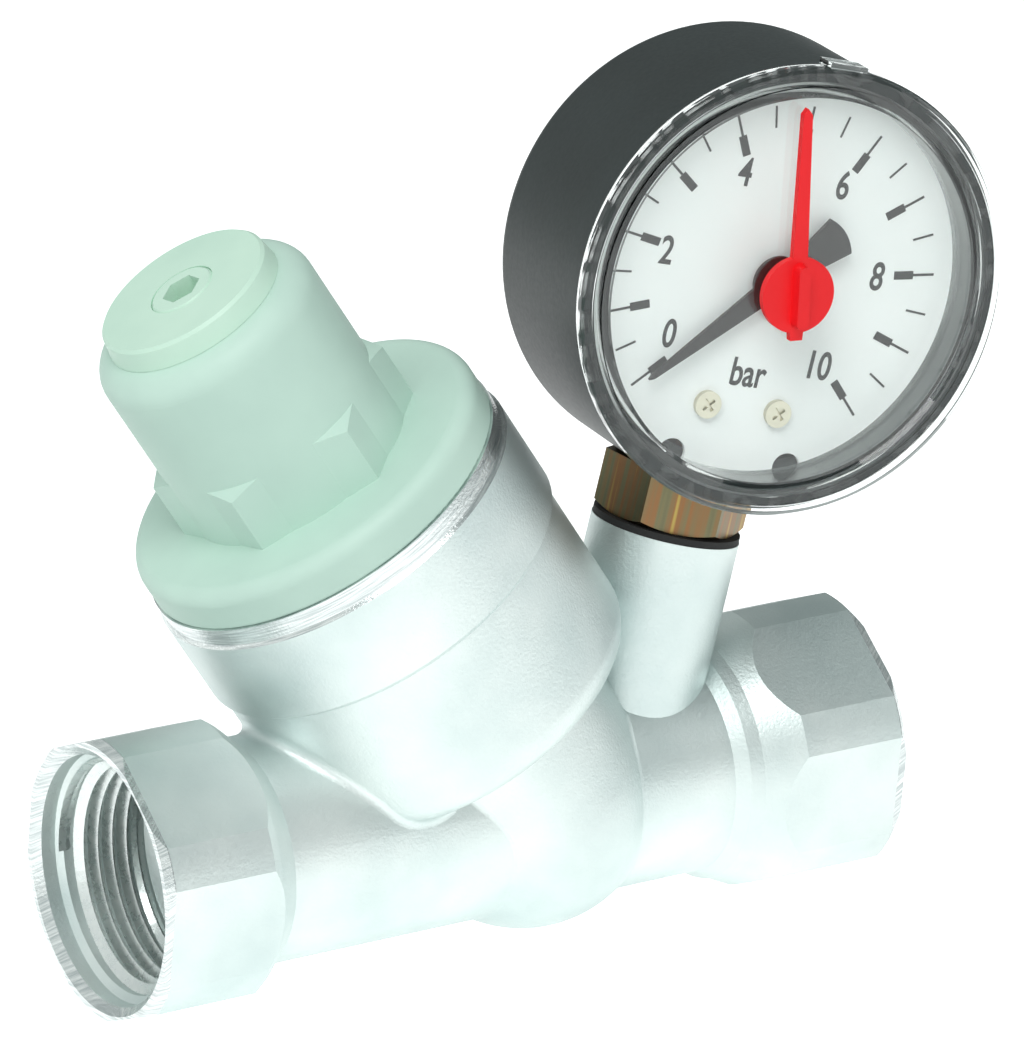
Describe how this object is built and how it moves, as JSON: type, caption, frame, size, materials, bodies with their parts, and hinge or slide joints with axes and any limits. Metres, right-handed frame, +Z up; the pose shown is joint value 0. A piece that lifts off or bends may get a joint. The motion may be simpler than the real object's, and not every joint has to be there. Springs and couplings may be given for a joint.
{
  "type": "pressure reducing valve",
  "caption": "Slanted-bonnet pressure reducing valve with threaded ports, moulded adjusting cover, cartridge, diaphragm and spring, and a dial pressure gauge with its movement.",
  "frame": {"origin": "middle of the inlet face, on the pipe's axis", "axes": "+X along the pipe to the outlet, +Z up, -Y the side that the dial faces; the bonnet leans back over the inlet in the XZ plane"},
  "size_m": [0.1061, 0.0499, 0.1009],
  "materials": {
    "body_metal": "satin nickel plate over cast brass",
    "cover_plastic": "pale grey-green moulded, fine grain",
    "cap_plastic": "pale grey-green moulded",
    "brass": "bare, stained",
    "movement_brass": "bare",
    "black_plastic": "fine spark-eroded grain",
    "clear_plastic": "clear",
    "dial_white": "printed sheet",
    "pointer_black": "matte",
    "marker_red": "satin",
    "rubber_black": "matte",
    "steel": "satin",
    "spring_steel": "plated",
    "cartridge_plastic": "moulded"
  },
  "bodies": {
    "housing": {"body": "body_metal", "cover": "cover_plastic", "cover_cap": "cap_plastic", "thrust_washer": "steel", "adjusting_spring": "spring_steel", "slip_ring": "steel", "diaphragm": "rubber_black", "cartridge_housing": "cartridge_plastic", "cartridge_upper_ring": "rubber_black", "cartridge_nose_ring": "rubber_black", "seat_ring": "steel", "strainer": "steel", "gauge_gasket": "rubber_black", "gauge_socket": "brass", "gauge_case": "black_plastic", "gauge_lens": "clear_plastic", "gauge_dial": "dial_white", "dial_screws": "movement_brass", "bourdon_tube": "movement_brass", "back_plate": "movement_brass", "front_plate": "movement_brass", "plate_pillars": "movement_brass", "movement_screws": "steel", "hairspring": "spring_steel"},
    "adjuster": {"adjusting_screw": "movement_brass"},
    "nut": {"spring_nut": "movement_brass"},
    "valve": {"valve_stem": "movement_brass", "piston_ring": "rubber_black", "obturator": "movement_brass", "obturator_seal": "rubber_black", "seal_washer": "steel", "seal_screw": "steel", "diaphragm_lower_plate": "movement_brass", "diaphragm_upper_plate": "movement_brass", "stem_nut": "movement_brass"},
    "sector": {"sector_gear": "movement_brass"},
    "pointer": {"pinion": "movement_brass", "pointer": "pointer_black"},
    "tube_tip": {"tube_tip": "movement_brass"},
    "link": {"link": "movement_brass"},
    "marker": {"marker_hand": "marker_red", "marker_stud": "marker_red"}
  },
  "joints": [
    {"name": "nut_slide", "type": "slide", "parent": "housing", "child": "nut", "axis": [-0.5299, 0, 0.848], "range_m": [-0.0025, 0.0025], "deforming": ["adjusting_spring"]},
    {"name": "adjusting_turn", "type": "hinge", "parent": "housing", "child": "adjuster", "pos_m": [0.0544, 0, 0], "axis": [-0.5299, 0, 0.848], "range_deg": [-720, 720]},
    {"name": "valve_slide", "type": "slide", "parent": "housing", "child": "valve", "axis": [-0.5299, 0, 0.848], "range_m": [0, 0.0025], "stiffness_N_per_m": 200, "springref_m": -0.01, "deforming": ["adjusting_spring", "diaphragm"]},
    {"name": "tip_slide", "type": "slide", "parent": "housing", "child": "tube_tip", "axis": [0.3245, -0.1283, 0.9372], "range_m": [0, 0.00311], "stiffness_N_per_m": 100, "springref_m": -0.0005, "deforming": ["bourdon_tube"]},
    {"name": "sector_turn", "type": "hinge", "parent": "housing", "child": "sector", "pos_m": [0.07996, -0.01662, 0.04835], "axis": [-0.1468, -0.9856, -0.0841], "range_deg": [0, 30]},
    {"name": "pointer_turn", "type": "hinge", "parent": "housing", "child": "pointer", "pos_m": [0.07896, -0.01731, 0.05827], "axis": [-0.1468, -0.9856, -0.0841], "range_deg": [-270, 0], "deforming": ["hairspring"]},
    {"name": "link_swing", "type": "hinge", "parent": "sector", "child": "link", "pos_m": [0.08488, -0.01706, 0.04493], "axis": [-0.1468, -0.9856, -0.0841], "range_deg": [-30, 0]},
    {"name": "marker_turn", "type": "hinge", "parent": "housing", "child": "marker", "pos_m": [0.07896, -0.01731, 0.05827], "axis": [-0.1468, -0.9856, -0.0841], "range_deg": [-146.6, 123.4]}
  ],
  "couplings": [
    {"joint": "adjusting_turn", "follows": "nut_slide", "rad_per_m": 5026.5},
    {"joint": "sector_turn", "follows": "tip_slide", "rad_per_m": 168.58},
    {"joint": "pointer_turn", "follows": "tip_slide", "rad_per_m": -1517.2},
    {"joint": "link_swing", "follows": "tip_slide", "rad_per_m": -168.58}
  ]
}
